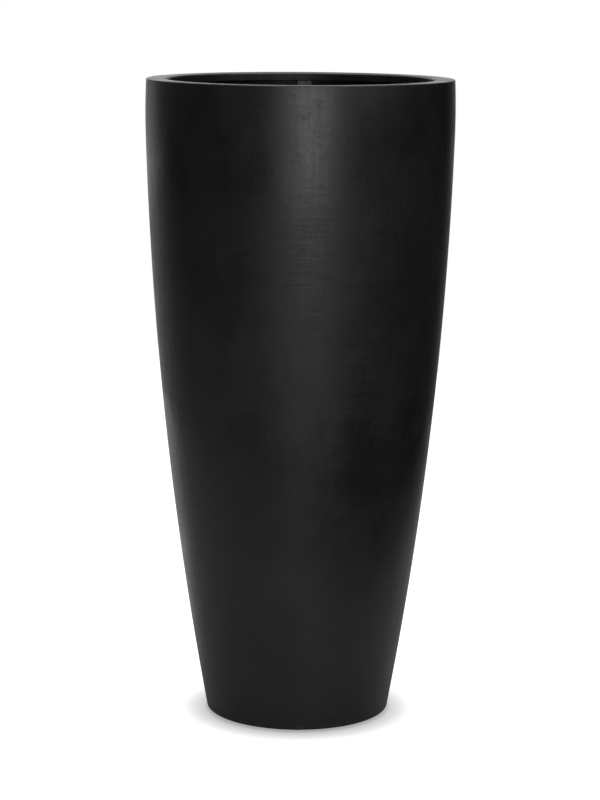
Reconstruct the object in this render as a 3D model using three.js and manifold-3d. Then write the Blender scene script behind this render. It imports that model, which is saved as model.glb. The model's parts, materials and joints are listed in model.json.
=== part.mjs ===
// A tall, round, bellied fiberglass planter, 1 m high, as the pieces it is bonded and fitted
// together from. Millimetres, +Z up, origin on the floor at the planter's axis, front towards -Y.
//
// The wall is one hand-laid laminate, and its outline is two tangent arcs. A channel-shaped ring
// laid on its top edge makes the wide flat rim, and a dished pan bonded inside its foot makes the
// floor. Loose in the planter are a rubber drain plug and a planting shelf, a false bottom that
// wedges in the taper at half height. Rubber pads under the foot let drained water run out.

import * as THREE from "three";
import { mergeVertices } from "three/addons/utils/BufferGeometryUtils.js";
import Module from "manifold-3d";

// The wall. Radii are measured from the planter's axis.
const OVERALL_HEIGHT = 1000; // floor to the top of the rim
const BELLY_RADIUS = 239; // widest point
const BELLY_DROP = 55; // from the rim down to the belly
const RIM_DRAW_IN = 1.3; // how much smaller the rim's radius is than the belly's
const SHOULDER_DROP = 32; // from the belly down to where the long lower arc begins
const FOOT_RADIUS = 143.7; // at the underside of the foot, before its edge is rounded
const FOOT_ROUNDING = 8; // outer edge of the foot
const FOOT_FLANGE_WIDTH = 30; // how far the foot turns in under the pan
const FOOT_INNER_ROUNDING = 4; // inside, where the wall turns in
const WALL_THICKNESS = 4;

// The rim ring: a channel, open downwards.
const RIM_WIDTH = 30.7; // from its outer edge to the clear mouth
const RING_THICKNESS = 4;
const RIM_ROUNDING = 1.8; // outer top edge
const LIP_DEPTH = 12.5; // return lip round the mouth, from the top of the rim
const LIP_ROUNDING = 2.5; // where the lip turns down
const LEG_DEPTH = 26; // bonding leg inside the wall, from the top of the rim
const CHANNEL_ROUNDING = 1.5; // in the channel's two upper corners

// The strap of glass mat that bridges the joint in the ring, behind the lip at the back.
const STRAP_WIDTH = 23;
const STRAP_THICKNESS = 2;
const STRAP_HEIGHT = 18;
const STRAP_TURN = 1.6; // degrees from the exact back, towards +X

// The floor pan.
const PAN_THICKNESS = 5;
const PAN_FALL = 3; // slope of the pan, down to its drain
const PAN_FLANGE_HEIGHT = 26; // above the foot it stands on
const PAN_FLANGE_THICKNESS = 4;
const PAN_CORNER = 2; // inside, where the pan turns up
const PAN_CORNER_RELIEF = 2; // how much rounder its outside is there than the wall inside the foot
const PAN_EDGE_ROUNDING = 1.5; // top edge of its flange
const DRAIN_RADIUS = 12.5;
const DRAIN_LAND = 12; // flat ring round the drain, for the plug's flange

// The rubber drain plug.
const PLUG_FLANGE_WIDTH = 7.5; // how far its flange laps the land round the drain
const PLUG_FLANGE_THICKNESS = 3.5;
const PLUG_EDGE_ROUNDING = 1.2;
const PLUG_FLOOR_GAP = 2; // below its stem
const PLUG_STEM_TAPER = 0.9; // how much narrower the stem's lower end is
const PLUG_STEM_WALL = 4.3; // round the hollow in the stem, at the lower end
const PLUG_HOLLOW_DEPTH = 6;
const PULL_LOOP_SPAN = 18; // between the centres of the loop's legs
const PULL_LOOP_HEIGHT = 11.5; // above the flange, to the centre of the loop's top
const PULL_LOOP_THICKNESS = 4;

// The planting shelf.
const SHELF_MOUTH_CLEARANCE = 3.5; // round its edge, in the mouth it is lifted out through
const SHELF_THICKNESS = 5;
const SHELF_EDGE_ROUNDING = 1.5;
const SHELF_FLANGE_DEPTH = 24; // below the plate
const SHELF_FLANGE_THICKNESS = 4;
const SHELF_INNER_ROUNDING = 4; // under the plate, where the flange turns down
const SHELF_HUB_RADIUS = 26;
const SHELF_HUB_THICKNESS = 4;
const SHELF_BAY_COUNT = 6; // with a rib on each side
const SHELF_RIB_THICKNESS = 4;
const SHELF_RIB_HUB_DEPTH = 22; // at the hub, below the plate
const SHELF_RIB_END_DEPTH = 10; // at the flange
const SHELF_DRAIN_RADIUS = 5;
const SHELF_DRAIN_CIRCLES = [
  { radius: 70, holesInBay: 1 },
  { radius: 150, holesInBay: 2 },
];
const FINGER_HOLE_RADIUS = 16;
const FINGER_HOLE_OFFSET = 112; // from the axis, in two opposite bays

// The pads under the foot.
const PAD_COUNT = 6;
const PAD_STANDOFF = 2.5; // floor to the underside of the foot
const PAD_MARGIN = 1.5; // between a pad and the edges of the flat it is stuck to
const PAD_CHAMFER = 0.5;

// Gaps between pieces.
const BOND_LINE = 0.3; // resin or adhesive between bonded pieces
const LOOSE_FIT = 0.3; // round the plug and the shelf
const PAN_HOLE_CLEARANCE = 3; // round the dish of the pan, in the hole in the foot

// How finely round shapes are faceted.
const TURN_SEGMENTS = 64; // every piece on the planter's axis
const SMALL_SEGMENTS = 20; // pads, the plug and the finger holes
const DRAIN_SEGMENTS = 12; // drain holes
const CORNER_FACET = 3; // width of a facet on a rounded corner
const UPPER_ARC_STEP = 23; // height of a facet
const LOWER_ARC_STEP = 115;
const STRAP_FACETS = 3;
const LOOP_STEPS = 16;
const RIB_STEPS = 6;

const MATERIALS = {
  paint: { color: 0x1c1c1c, roughness: 0.45, metalness: 0 },
  glassMat: { color: 0x6f706c, roughness: 0.8, metalness: 0 },
  laminate: { color: 0x232323, roughness: 0.75, metalness: 0 },
  plastic: { color: 0x262626, roughness: 0.6, metalness: 0 },
  rubber: { color: 0x141414, roughness: 0.9, metalness: 0 },
};

const wasm = await Module();
wasm.setup();

const planter = new THREE.Group();

function addPiece(name, geometry, finish, parent = planter) {
  const mesh = new THREE.Mesh(geometry, new THREE.MeshStandardMaterial(MATERIALS[finish]));
  mesh.name = name;
  parent.add(mesh);
  return mesh;
}

// --- outlines and solids ------------------------------------------------------------------------

// A closed outline from its corners, each [radius, height] or [radius, height, rounding].
function outline(corners) {
  const points = corners.map(([x, y]) => new THREE.Vector2(x, y));
  return corners.flatMap(([, , rounding], i) => {
    const corner = points[i];
    if (!rounding) return [corner];
    const before = points.at(i - 1).clone().sub(corner).normalize();
    const after = points[(i + 1) % points.length].clone().sub(corner).normalize();
    const half = Math.acos(before.dot(after)) / 2;
    const start = corner.clone().addScaledVector(before, rounding / Math.tan(half));
    const bisector = before.clone().add(after).normalize();
    const centre = corner.clone().addScaledVector(bisector, rounding / Math.sin(half));
    const sweep = Math.sign(after.cross(before)) * (Math.PI - 2 * half);
    const steps = 1 + Math.ceil(rounding / CORNER_FACET);
    return Array.from({ length: steps + 1 }, (_, k) =>
      start.clone().rotateAround(centre, (sweep * k) / steps),
    );
  });
}

// The shared vertices of a geometry merged, and the triangles that close up to nothing left out.
function weld(geometry) {
  geometry.deleteAttribute("normal");
  geometry.deleteAttribute("uv");
  const welded = mergeVertices(geometry);
  const corners = welded.index.array;
  const kept = [];
  for (let i = 0; i < corners.length; i += 3) {
    const [a, b, c] = corners.slice(i, i + 3);
    if (a !== b && b !== c && c !== a) kept.push(a, b, c);
  }
  welded.setIndex(kept);
  welded.computeVertexNormals();
  return welded;
}

// An outline turned round the Z axis.
function turned(points, segments = TURN_SEGMENTS) {
  const ring = THREE.ShapeUtils.isClockWise(points) ? [...points].reverse() : [...points];
  ring.push(ring[0].clone());
  return weld(new THREE.LatheGeometry(ring, segments).rotateX(Math.PI / 2));
}

function toSolid(geometry) {
  const vertProperties = Float32Array.from(geometry.attributes.position.array);
  const triVerts = Uint32Array.from(geometry.index.array);
  return new wasm.Manifold(new wasm.Mesh({ numProp: 3, vertProperties, triVerts }));
}

function toGeometry(solid) {
  const { vertProperties, triVerts } = solid.getMesh();
  const geometry = new THREE.BufferGeometry();
  geometry.setAttribute("position", new THREE.BufferAttribute(vertProperties, 3));
  geometry.setIndex(new THREE.BufferAttribute(triVerts, 1));
  geometry.computeVertexNormals();
  return geometry;
}

// --- the wall's outline -------------------------------------------------------------------------

const footLevel = PAD_STANDOFF;
const footHoleRadius = FOOT_RADIUS - FOOT_FLANGE_WIDTH;
const bellyLevel = OVERALL_HEIGHT - BELLY_DROP;
const shoulderLevel = bellyLevel - SHOULDER_DROP;
const rimRadius = BELLY_RADIUS - RIM_DRAW_IN;
const mouthRadius = rimRadius - RIM_WIDTH;

// The upper arc is upright at the belly and passes through the rim's edge.
function upperArc() {
  const radius = (BELLY_DROP ** 2 + RIM_DRAW_IN ** 2) / (2 * RIM_DRAW_IN);
  return { radius, x: BELLY_RADIUS - radius, y: bellyLevel };
}

// The lower arc leaves the upper one without a kink and ends at the foot.
function lowerArc({ radius: upperRadius, x, y }) {
  const angle = Math.asin((shoulderLevel - y) / upperRadius);
  const normal = new THREE.Vector2(Math.cos(angle), Math.sin(angle));
  const shoulder = new THREE.Vector2(x, y).addScaledVector(normal, upperRadius);
  const chord = new THREE.Vector2(FOOT_RADIUS, footLevel).sub(shoulder);
  const radius = -chord.lengthSq() / (2 * chord.dot(normal));
  const centre = shoulder.addScaledVector(normal, -radius);
  return { radius, x: centre.x, y: centre.y };
}

const upper = upperArc();
const lower = lowerArc(upper);

// Radius of a face of the wall at a height. The faces are concentric: 0 is the outside.
function wallRadius(height, inset = 0) {
  const arc = height > shoulderLevel ? upper : lower;
  return arc.x + Math.sqrt((arc.radius - inset) ** 2 - (height - arc.y) ** 2);
}

// The height below the shoulder at which a face of the wall has a radius.
function wallHeight(radius, inset) {
  return lower.y - Math.sqrt((lower.radius - inset) ** 2 - (radius - lower.x) ** 2);
}

// Points up a face of the wall between two heights, both included.
function wallFace(bottom, top, inset) {
  const levels = [bottom];
  const stretches = [
    [Math.min(top, shoulderLevel), LOWER_ARC_STEP],
    [top, UPPER_ARC_STEP],
  ];
  for (const [end, step] of stretches) {
    const start = levels.at(-1);
    const count = Math.ceil((end - start) / step);
    for (let i = 1; i <= count; i++) levels.push(start + ((end - start) * i) / count);
  }
  return levels.map((height) => [wallRadius(height, inset), height]);
}

// --- pieces that are bonded together ------------------------------------------------------------

const ringUnderside = OVERALL_HEIGHT - RING_THICKNESS;
const wallTop = ringUnderside - BOND_LINE;
const flangeTop = footLevel + WALL_THICKNESS;

function outerWall() {
  const [, ...outside] = wallFace(footLevel, wallTop, 0);
  const [, ...inside] = wallFace(flangeTop, wallTop, WALL_THICKNESS);
  return turned(
    outline([
      [footHoleRadius, footLevel],
      [FOOT_RADIUS, footLevel, FOOT_ROUNDING],
      ...outside,
      ...inside.reverse(),
      [wallRadius(flangeTop, WALL_THICKNESS), flangeTop, FOOT_INNER_ROUNDING],
      [footHoleRadius, flangeTop],
    ]),
  );
}

// The ring's flat top ends outside flush with the wall it stands on. Its outer leg is bonded
// inside the wall, and its inner leg is the lip that turns down round the mouth.
const lipBackRadius = mouthRadius + RING_THICKNESS;
const lipEnd = OVERALL_HEIGHT - LIP_DEPTH;

function rimRing() {
  const legOutside = WALL_THICKNESS + BOND_LINE;
  const legInside = legOutside + RING_THICKNESS;
  const legEnd = OVERALL_HEIGHT - LEG_DEPTH;
  return turned(
    outline([
      [mouthRadius, lipEnd],
      [mouthRadius, OVERALL_HEIGHT, LIP_ROUNDING],
      [rimRadius, OVERALL_HEIGHT, RIM_ROUNDING],
      [wallRadius(ringUnderside), ringUnderside],
      [wallRadius(ringUnderside, legOutside), ringUnderside],
      [wallRadius(legEnd, legOutside), legEnd],
      [wallRadius(legEnd, legInside), legEnd],
      [wallRadius(ringUnderside, legInside), ringUnderside, CHANNEL_ROUNDING],
      [lipBackRadius, ringUnderside, CHANNEL_ROUNDING],
      [lipBackRadius, lipEnd],
    ]),
  );
}

// Centred on the back, where the ring's two ends meet. It hangs lower than the lip it is bonded to.
function jointStrap() {
  const inner = lipBackRadius + BOND_LINE;
  const outer = inner + STRAP_THICKNESS;
  const half = STRAP_WIDTH / 2 / inner;
  const shape = new THREE.Shape();
  shape.absarc(0, 0, outer, Math.PI / 2 - half, Math.PI / 2 + half, false);
  shape.absarc(0, 0, inner, Math.PI / 2 + half, Math.PI / 2 - half, true);
  const options = { depth: STRAP_HEIGHT, bevelEnabled: false, curveSegments: STRAP_FACETS };
  return weld(new THREE.ExtrudeGeometry(shape, options));
}

// The pan stands on the foot's flange and turns up against the wall. Inside the hole in the foot it
// dishes to the drain.
const panSeat = flangeTop + BOND_LINE;
const drainLandTop = panSeat - PAN_FALL + PAN_THICKNESS;

function floorPan() {
  const dishRadius = footHoleRadius - PAN_HOLE_CLEARANCE;
  const landRadius = DRAIN_RADIUS + DRAIN_LAND;
  const outside = WALL_THICKNESS + BOND_LINE;
  const inside = outside + PAN_FLANGE_THICKNESS;
  const panTop = panSeat + PAN_THICKNESS;
  const flangeEnd = panSeat + PAN_FLANGE_HEIGHT;
  return turned(
    outline([
      [DRAIN_RADIUS, panSeat - PAN_FALL],
      [landRadius, panSeat - PAN_FALL],
      [dishRadius, panSeat],
      [wallRadius(panSeat, outside), panSeat, FOOT_INNER_ROUNDING + PAN_CORNER_RELIEF],
      [wallRadius(flangeEnd, outside), flangeEnd, PAN_EDGE_ROUNDING],
      [wallRadius(flangeEnd, inside), flangeEnd, PAN_EDGE_ROUNDING],
      [wallRadius(panTop, inside), panTop, PAN_CORNER],
      [dishRadius, panTop],
      [landRadius, drainLandTop],
      [DRAIN_RADIUS, drainLandTop],
    ]),
  );
}

// As wide as the flat part of the foot's flange allows.
function footPad() {
  const radius = (FOOT_FLANGE_WIDTH - FOOT_ROUNDING) / 2 - PAD_MARGIN;
  const thickness = PAD_STANDOFF - BOND_LINE;
  return turned(
    outline([
      [0, 0],
      [radius - PAD_CHAMFER, 0],
      [radius, PAD_CHAMFER],
      [radius, thickness],
      [0, thickness],
    ]),
    SMALL_SEGMENTS,
  );
}

// --- the drain plug -----------------------------------------------------------------------------

// The loop's centre line: two upright legs joined by a half circle. Both legs start in the middle
// of the plug's flange.
class LoopCurve extends THREE.Curve {
  getPoint(t, target = new THREE.Vector3()) {
    const radius = PULL_LOOP_SPAN / 2;
    const springing = PLUG_FLANGE_THICKNESS + PULL_LOOP_HEIGHT - radius;
    const leg = springing - PLUG_FLANGE_THICKNESS / 2;
    const bend = Math.PI * radius;
    const along = t * (bend + 2 * leg) - leg;
    const angle = THREE.MathUtils.clamp(along / radius, 0, Math.PI);
    const below = Math.max(-along, along - bend, 0);
    return target.set(-radius * Math.cos(angle), 0, springing + radius * Math.sin(angle) - below);
  }
}

function pullLoop() {
  const section = new THREE.Shape().absarc(0, 0, PULL_LOOP_THICKNESS / 2, 0, 2 * Math.PI);
  const options = {
    extrudePath: new LoopCurve(),
    steps: LOOP_STEPS,
    curveSegments: SMALL_SEGMENTS / 6,
    bevelEnabled: false,
  };
  return weld(new THREE.ExtrudeGeometry(section, options));
}

// Drawn with the underside of its flange at height 0. The stem nearly reaches the floor.
const plugSeat = drainLandTop + LOOSE_FIT;

function drainPlug() {
  const flangeRadius = DRAIN_RADIUS + PLUG_FLANGE_WIDTH;
  const stemRadius = DRAIN_RADIUS - LOOSE_FIT;
  const stemEndRadius = stemRadius - PLUG_STEM_TAPER;
  const hollowRadius = stemEndRadius - PLUG_STEM_WALL;
  const stemEnd = PLUG_FLOOR_GAP - plugSeat;
  const body = turned(
    outline([
      [0, stemEnd + PLUG_HOLLOW_DEPTH],
      [hollowRadius, stemEnd + PLUG_HOLLOW_DEPTH],
      [hollowRadius, stemEnd],
      [stemEndRadius, stemEnd],
      [stemRadius, 0],
      [flangeRadius, 0],
      [flangeRadius, PLUG_FLANGE_THICKNESS, PLUG_EDGE_ROUNDING],
      [0, PLUG_FLANGE_THICKNESS],
    ]),
    SMALL_SEGMENTS,
  );
  return toGeometry(toSolid(body).add(toSolid(pullLoop())));
}

// --- the planting shelf -------------------------------------------------------------------------

const shelfRadius = mouthRadius - SHELF_MOUTH_CLEARANCE;
const shelfInset = WALL_THICKNESS + LOOSE_FIT;
const shelfTop = wallHeight(shelfRadius, shelfInset);
const shelfUnderside = shelfTop - SHELF_THICKNESS;
const shelfFlangeEnd = shelfUnderside - SHELF_FLANGE_DEPTH;

// Radius of the inner face of the shelf's flange. The outer face follows the wall's taper.
function shelfFlangeRadius(height) {
  return wallRadius(height, shelfInset + SHELF_FLANGE_THICKNESS);
}

function shelfBody() {
  const hubEnd = shelfUnderside - SHELF_RIB_HUB_DEPTH;
  const hubBore = SHELF_HUB_RADIUS - SHELF_HUB_THICKNESS;
  return turned(
    outline([
      [0, shelfUnderside],
      [hubBore, shelfUnderside],
      [hubBore, hubEnd],
      [SHELF_HUB_RADIUS, hubEnd],
      [SHELF_HUB_RADIUS, shelfUnderside],
      [shelfFlangeRadius(shelfUnderside), shelfUnderside, SHELF_INNER_ROUNDING],
      [shelfFlangeRadius(shelfFlangeEnd), shelfFlangeEnd],
      [wallRadius(shelfFlangeEnd, shelfInset), shelfFlangeEnd],
      [shelfRadius, shelfTop, SHELF_EDGE_ROUNDING],
      [0, shelfTop],
    ]),
  );
}

// A rib from the hub to the flange, with an arched lower edge. Its ends and top are buried in the
// middle of what it is moulded with.
function shelfRib(turn) {
  const start = SHELF_HUB_RADIUS - SHELF_HUB_THICKNESS / 2;
  const endLevel = shelfUnderside - SHELF_RIB_END_DEPTH;
  const end = shelfFlangeRadius(endLevel) + SHELF_FLANGE_THICKNESS / 2;
  const top = shelfUnderside + SHELF_THICKNESS / 2;
  const shape = new THREE.Shape();
  shape.moveTo(start, top);
  shape.lineTo(start, shelfUnderside - SHELF_RIB_HUB_DEPTH + BOND_LINE);
  shape.quadraticCurveTo((start + end) / 2, endLevel, end, endLevel);
  shape.lineTo(end, top);
  const options = { depth: SHELF_RIB_THICKNESS, bevelEnabled: false, curveSegments: RIB_STEPS };
  const rib = new THREE.ExtrudeGeometry(shape, options);
  rib.translate(0, 0, -SHELF_RIB_THICKNESS / 2);
  return toSolid(weld(rib.rotateX(Math.PI / 2).rotateZ(turn)));
}

function shelfHole(radius, segments, distance, turn) {
  const hole = new THREE.CylinderGeometry(radius, radius, 3 * SHELF_THICKNESS, segments);
  hole.rotateX(Math.PI / 2);
  hole.translate(distance, 0, shelfUnderside + SHELF_THICKNESS / 2);
  return toSolid(weld(hole.rotateZ(turn)));
}

// The ribs divide the plate into bays. Each circle of drain holes has the same few in every bay,
// evenly spread, and two opposite bays have a finger hole on their middle line.
function plantingShelf() {
  const bayAngle = (2 * Math.PI) / SHELF_BAY_COUNT;
  let shelf = toSolid(shelfBody());
  for (let bay = 0; bay < SHELF_BAY_COUNT; bay++) {
    shelf = shelf.add(shelfRib((bay - 0.5) * bayAngle));
  }
  for (const { radius, holesInBay } of SHELF_DRAIN_CIRCLES) {
    for (let hole = 0; hole < SHELF_BAY_COUNT * holesInBay; hole++) {
      const turn = ((hole + 0.5) / holesInBay - 0.5) * bayAngle;
      shelf = shelf.subtract(shelfHole(SHELF_DRAIN_RADIUS, DRAIN_SEGMENTS, radius, turn));
    }
  }
  for (const bay of [0, Math.floor(SHELF_BAY_COUNT / 2)]) {
    shelf = shelf.subtract(
      shelfHole(FINGER_HOLE_RADIUS, SMALL_SEGMENTS, FINGER_HOLE_OFFSET, bay * bayAngle),
    );
  }
  return toGeometry(shelf);
}

// --- the planter --------------------------------------------------------------------------------

addPiece("outer_wall", outerWall(), "paint");
addPiece("rim_ring", rimRing(), "paint");
addPiece("floor_pan", floorPan(), "laminate");

const strap = addPiece("rim_joint_strap", jointStrap(), "glassMat");
strap.position.z = ringUnderside - CHANNEL_ROUNDING - STRAP_HEIGHT;
strap.rotation.z = THREE.MathUtils.degToRad(-STRAP_TURN);

const foot = new THREE.Group();
planter.add(foot);
for (let i = 0; i < PAD_COUNT; i++) {
  const turn = ((i + 0.5) * 2 * Math.PI) / PAD_COUNT;
  const reach = FOOT_RADIUS - (FOOT_FLANGE_WIDTH + FOOT_ROUNDING) / 2;
  const pad = addPiece(`foot_pad_${i + 1}`, footPad(), "rubber", foot);
  pad.position.set(reach * Math.cos(turn), reach * Math.sin(turn), 0);
}

const plug = addPiece("drain_plug", drainPlug(), "rubber");
plug.position.z = plugSeat;

addPiece("planting_shelf", plantingShelf(), "plastic");

export default planter;
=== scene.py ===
# %% [markdown]
# # A tall fiberglass planter
#
# The planter is one metre high. Its wall is one hand-laid laminate of glass mat and resin, sprayed
# with satin black paint on the outside. A ring bonded on the wall's top edge makes the wide flat
# rim, and a pan bonded in the foot makes the floor. A rubber plug, a planting shelf and rubber pads
# go with it.
#
# The imported model gives every piece its place and its size. It is loaded first, and each piece made
# here takes the place of one of its nodes.

import json
import math

import bmesh
import bpy
import numpy as np
from mathutils import Matrix, Vector

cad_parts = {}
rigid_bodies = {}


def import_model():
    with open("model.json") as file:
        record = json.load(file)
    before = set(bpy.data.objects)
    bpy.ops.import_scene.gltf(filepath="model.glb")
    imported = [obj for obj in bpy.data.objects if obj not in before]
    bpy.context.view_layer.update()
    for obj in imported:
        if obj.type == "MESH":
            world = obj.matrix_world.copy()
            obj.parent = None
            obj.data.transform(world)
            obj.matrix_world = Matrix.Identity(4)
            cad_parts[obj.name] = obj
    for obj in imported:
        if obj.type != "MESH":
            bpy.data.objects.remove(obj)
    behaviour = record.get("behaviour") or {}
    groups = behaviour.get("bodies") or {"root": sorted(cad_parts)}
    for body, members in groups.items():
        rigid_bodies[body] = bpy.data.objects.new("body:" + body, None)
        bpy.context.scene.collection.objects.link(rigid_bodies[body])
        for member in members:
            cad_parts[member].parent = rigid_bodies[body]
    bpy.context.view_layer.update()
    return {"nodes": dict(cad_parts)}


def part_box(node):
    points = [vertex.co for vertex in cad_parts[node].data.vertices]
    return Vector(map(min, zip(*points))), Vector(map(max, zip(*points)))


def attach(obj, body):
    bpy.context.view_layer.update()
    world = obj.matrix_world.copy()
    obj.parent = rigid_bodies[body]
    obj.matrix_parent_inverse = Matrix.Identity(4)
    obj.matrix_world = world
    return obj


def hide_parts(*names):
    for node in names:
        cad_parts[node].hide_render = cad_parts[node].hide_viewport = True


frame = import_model()
print("nodes:", sorted(frame["nodes"]))

# %% [markdown]
# ## The camera
#
# The photograph was taken from a little above the rim with a long lens, so the rim is a thin
# ellipse and the sides hardly converge. A camera can be set by eye, but this one was solved: it
# stands where the rim, the widest part and the foot all fall on the photograph's outline. Its third
# of a degree of roll is the photograph's own. There is no lens shift, because the optical centre is
# the picture's centre.

# %% The camera
CAMERA_PLACE = (0.0019, -3.834, 1.171)
CAMERA_TILT_DOWN = math.radians(9.96)
CAMERA_ROLL = math.radians(0.35)
LENS_MM = 111.35

camera = bpy.data.objects.new("camera", bpy.data.cameras.new("camera"))
bpy.context.scene.collection.objects.link(camera)
camera.data.sensor_width = 36
camera.data.lens = LENS_MM
camera.data.clip_start = 0.1
camera.data.clip_end = 100
camera.matrix_world = (
    Matrix.Translation(CAMERA_PLACE)
    @ Matrix.Rotation(math.pi / 2 - CAMERA_TILT_DOWN, 4, "X")
    @ Matrix.Rotation(CAMERA_ROLL, 4, "Z")
)
bpy.context.scene.camera = camera
bpy.context.scene.view_settings.view_transform = "Standard"
print("camera", LENS_MM, "mm at", CAMERA_PLACE)

# %% [markdown]
# ## Small tools for shader nodes
#
# Every finish below is built from nodes. They could be wired one socket at a time, but a few short
# helpers keep that readable: they add a node with its values, do one sum, blend two colours, start
# and end a node group with named sockets, and place a finished group in a material.

# %% Helpers for nodes
def feed(tree, socket, value):
    """Sets an input to a value, or links another node's output to it."""
    if hasattr(value, "is_output"):
        tree.links.new(value, socket)
    else:
        socket.default_value = value


def add_node(tree, kind, **values):
    """Adds a node. Each value goes to the input of that name, with _ for a space."""
    node = tree.nodes.new(kind)
    for name, value in values.items():
        feed(tree, node.inputs[name.replace("_", " ")], value)
    return node


def calculate(tree, operation, *terms, kind="ShaderNodeMath"):
    """Adds a Math node, or a Vector Math node if that kind is given, and returns its result."""
    node = tree.nodes.new(kind)
    node.operation = operation
    for socket, term in zip(node.inputs, terms):
        feed(tree, socket, term)
    return node.outputs[0]


def plus_share(tree, base, mask, weight):
    """A base plus a mask times its weight."""
    return calculate(tree, "MULTIPLY_ADD", mask, weight, base)


def remap(tree, value, low, high, new_low=0.0, new_high=1.0):
    """Maps low..high smoothly to new_low..new_high."""
    node = add_node(tree, "ShaderNodeMapRange", Value=value, From_Min=low, From_Max=high)
    node.interpolation_type = "SMOOTHSTEP"
    node.inputs["To Min"].default_value = new_low
    node.inputs["To Max"].default_value = new_high
    return node.outputs[0]


print("node helpers ready")


# %% Helpers for colours
def grey(level):
    """A neutral colour from one linear level."""
    return (level, level, level, 1.0)


def blend_colours(tree, share, first, second):
    """Mixes two colours by a mask."""
    node = tree.nodes.new("ShaderNodeMix")
    node.data_type = "RGBA"
    for index, value in ((0, share), (6, first), (7, second)):
        feed(tree, node.inputs[index], value)
    return node.outputs[2]


def tint(tree, tone, mask, share, colour):
    """Lays a colour over a tone where the mask is, by no more than a share."""
    return blend_colours(tree, calculate(tree, "MULTIPLY", mask, share), tone, colour)


print("a mid grey is written", grey(0.2))


# %% Helpers for places
def own_place(tree):
    """Where a point lies on its own piece, in metres."""
    return tree.nodes.new("ShaderNodeTexCoord").outputs["Object"]


def axes_of(tree, vector):
    """The X, Y and Z of a vector."""
    return add_node(tree, "ShaderNodeSeparateXYZ", Vector=vector).outputs


def scaled_place(tree, across, up, seed):
    """A point's own place, in patches of a size across and up. The seed moves the pattern."""
    sizes = add_node(tree, "ShaderNodeCombineXYZ", X=across, Y=across, Z=up).outputs[0]
    shares = calculate(tree, "DIVIDE", own_place(tree), sizes, kind="ShaderNodeVectorMath")
    return calculate(tree, "ADD", shares, seed, kind="ShaderNodeVectorMath")


def cloud_noise(tree, place, detail, roughness=0.5):
    """Cloudy noise, with patches about one unit of the place across."""
    noise = add_node(tree, "ShaderNodeTexNoise", Vector=place, Scale=1.0, Detail=detail)
    noise.inputs["Roughness"].default_value = roughness
    return noise.outputs[0]


print("place helpers ready")


# %% Helpers for node groups
def start_group(name, inputs, output):
    """Starts a node group with float sockets. Returns its tree and the values it is given."""
    tree = bpy.data.node_groups.new(name, "ShaderNodeTree")
    for label, value in inputs.items():
        socket = tree.interface.new_socket(label, in_out="INPUT", socket_type="NodeSocketFloat")
        socket.default_value = value
    tree.interface.new_socket(output, in_out="OUTPUT", socket_type="NodeSocketFloat")
    return tree, tree.nodes.new("NodeGroupInput").outputs


def end_group(tree, value):
    """Sends a value to the group's output."""
    tree.links.new(value, tree.nodes.new("NodeGroupOutput").inputs[0])
    print("node group:", tree.name)


def place_group(tree, group, **values):
    """Places a group in a material, with its own values, and returns its mask."""
    node = tree.nodes.new("ShaderNodeGroup")
    node.node_tree = group
    for name, value in values.items():
        feed(tree, node.inputs[name.replace("_", " ")], value)
    return node.outputs[0]


print("group helpers ready")

# %% [markdown]
# ## Effects that several finishes share
#
# Hand-finished laminate is never quite even. The photograph shows soft cloudy patches where the
# paint is a little glossier, level streaks from rubbing down by hand, smudges, a few pits and a few
# pale specks. Image textures could carry these, but patterns made by nodes have no seam and stay
# sharp close up. Each kind of pattern is a node group, and a material places it with its own sizes:
# patches, which are streaks when one size is much the larger, round spots, strands of glass mat,
# settled dust, and a rubbed band. They are sized in metres and follow the piece's own place, so
# they stay put when the piece moves.

# %% Node group: patches and streaks
patches, given = start_group(
    "Patches", {"Size across": 0.1, "Size up": 0.1, "Seed": 0.0}, "Patches"
)
spot = scaled_place(patches, given["Size across"], given["Size up"], given["Seed"])
end_group(patches, cloud_noise(patches, spot, 3.0, 0.55))

# %% Node group: spots
spots, given = start_group(
    "Spots", {"Spacing": 0.03, "Radius share": 0.06, "Share of cells": 0.2, "Seed": 0.0}, "Spots"
)
spot = scaled_place(spots, given["Spacing"], given["Spacing"], given["Seed"])
cells = add_node(spots, "ShaderNodeTexVoronoi", Vector=spot, Scale=1.0)
chances = add_node(spots, "ShaderNodeSeparateColor", Color=cells.outputs["Color"]).outputs
chosen = calculate(spots, "LESS_THAN", chances[0], given["Share of cells"])
reach = calculate(spots, "MULTIPLY", given["Radius share"], calculate(spots, "ADD", 0.4, chances[1]))
nearness = calculate(spots, "DIVIDE", cells.outputs["Distance"], reach)
round_spot = remap(spots, nearness, 1.0, 0.55)
end_group(spots, calculate(spots, "MULTIPLY", round_spot, chosen))

# %% Node group: strands of glass mat
STRAND_TURNS = (0.3, 1.35, 2.5)
STRAND_TURN_AXIS = (0.53, 0.62, 0.58)

strands, given = start_group(
    "Mat strands", {"Strand length": 0.03, "Strand width": 0.0012, "Seed": 0.0}, "Strands"
)
length, width = given["Strand length"], given["Strand width"]
highest = None
for turn in STRAND_TURNS:
    turned = add_node(strands, "ShaderNodeVectorRotate", Vector=own_place(strands), Angle=turn)
    turned.inputs["Axis"].default_value = STRAND_TURN_AXIS
    sizes = add_node(strands, "ShaderNodeCombineXYZ", X=length, Y=width, Z=width).outputs[0]
    shares = calculate(strands, "DIVIDE", turned.outputs[0], sizes, kind="ShaderNodeVectorMath")
    seed = calculate(strands, "ADD", given["Seed"], turn * 7)
    layer = calculate(strands, "ADD", shares, seed, kind="ShaderNodeVectorMath")
    strand = remap(strands, cloud_noise(strands, layer, 1.0), 0.5, 0.68)
    highest = strand if highest is None else calculate(strands, "MAXIMUM", highest, strand)
end_group(strands, highest)

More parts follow.
